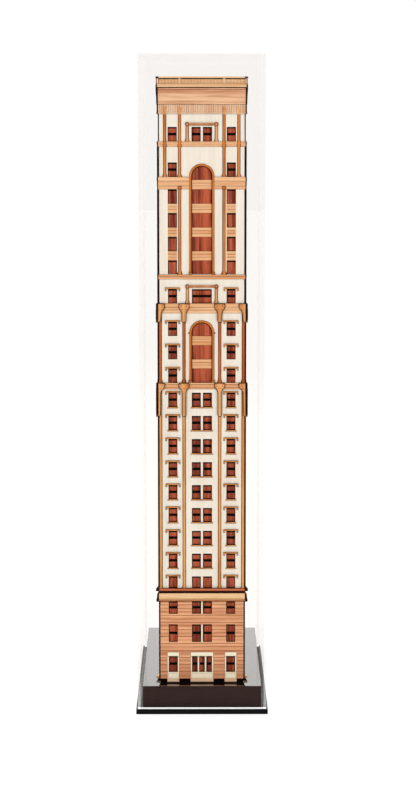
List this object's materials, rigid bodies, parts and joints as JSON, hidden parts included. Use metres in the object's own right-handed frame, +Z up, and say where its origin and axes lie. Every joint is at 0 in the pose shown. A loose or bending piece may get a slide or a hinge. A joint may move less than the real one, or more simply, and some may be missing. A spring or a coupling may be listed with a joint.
{
  "type": "miniature landmark model",
  "caption": "Layered wooden scale model of a tower block on a gloss black plinth, under a clear box case that lifts straight off.",
  "frame": {"origin": "centre of the base plate's underside, on the surface that the model stands on", "axes": "+X to the right of the front elevation, +Y from the front elevation to the rear, +Z up"},
  "size_m": [0.16, 0.316, 0.7958],
  "materials": {
    "base_gloss_black": "thin black sheet with a mirror gloss",
    "plinth_black_wood": "dark brown-black satin lacquer over board",
    "plinth_gloss_top": "dark sheet polished to a mirror gloss",
    "screw_steel": "plain zinc-plated screws",
    "clear_acrylic": "clear polished acrylic sheet with faintly bluish edges",
    "core_board": "plain brown fibreboard, sawn, hidden",
    "window_walnut": "reddish walnut veneer with a vertical grain, satin, edges burnt by the cutter",
    "wall_maple": "pale cream maple veneer with a faint grain, satin",
    "base_cherry": "warm cherry veneer, engraved with level joint lines",
    "surround_maple": "yellowish maple veneer, satin",
    "burnt_black": "blackened board strip, matt",
    "band_birch": "light warm veneer with a level grain and engraved lines",
    "trim_cherry": "orange-brown veneer trim, edges darkened by the cutter"
  },
  "bodies": {
    "base": {"base_plate": "base_gloss_black", "plinth_body": "plinth_black_wood", "plinth_top_sheet": "plinth_gloss_top", "core_bottom_board": "core_board", "plate_screws": "screw_steel", "building_screws": "screw_steel", "core_front_board": "core_board", "core_rear_board": "core_board", "core_left_board": "core_board", "core_right_board": "core_board", "core_tower_rear_board": "core_board", "core_floors": "core_board", "wing_roof_board": "core_board", "tower_roof_board": "core_board", "front_window_sheet": "window_walnut", "front_wall_sheet": "wall_maple", "front_base_sheet": "base_cherry", "left_window_sheet": "window_walnut", "left_wall_sheet": "wall_maple", "left_base_sheet": "base_cherry", "right_window_sheet": "window_walnut", "right_wall_sheet": "wall_maple", "right_base_sheet": "base_cherry", "rear_window_sheet": "window_walnut", "rear_wall_sheet": "wall_maple", "rear_base_sheet": "base_cherry", "tower_rear_window_sheet": "window_walnut", "tower_rear_wall_sheet": "wall_maple", "ground_surrounds": "surround_maple", "entrance_steps": "surround_maple", "foot_boards": "burnt_black", "base_mullions": "surround_maple", "roll_moulding": "trim_cherry", "ledges": "trim_cherry", "pilasters": "trim_cherry", "lower_brackets": "trim_cherry", "lower_belts": "band_birch", "upper_brackets": "trim_cherry", "upper_belts": "band_birch", "tower_foot_belts": "band_birch", "arch_bands": "band_birch", "tower_belts": "band_birch", "arch_frames": "trim_cherry", "spandrel_panels": "band_birch", "window_frames": "trim_cherry", "window_hoods": "trim_cherry", "window_sills": "trim_cherry", "colonettes": "trim_cherry", "corner_strips": "surround_maple", "corbel_tables": "band_birch", "cove_cornices": "band_birch", "parapet_boards": "band_birch", "parapet_rails": "band_birch", "parapet_posts": "trim_cherry", "wing_parapets": "band_birch"},
    "case": {"case_front_panel": "clear_acrylic", "case_rear_panel": "clear_acrylic", "case_left_panel": "clear_acrylic", "case_right_panel": "clear_acrylic", "case_top_panel": "clear_acrylic"}
  },
  "joints": [
    {"name": "case_lift", "type": "slide", "parent": "base", "child": "case", "axis": [0, 0, 1], "range_m": [0, 0.8]}
  ]
}
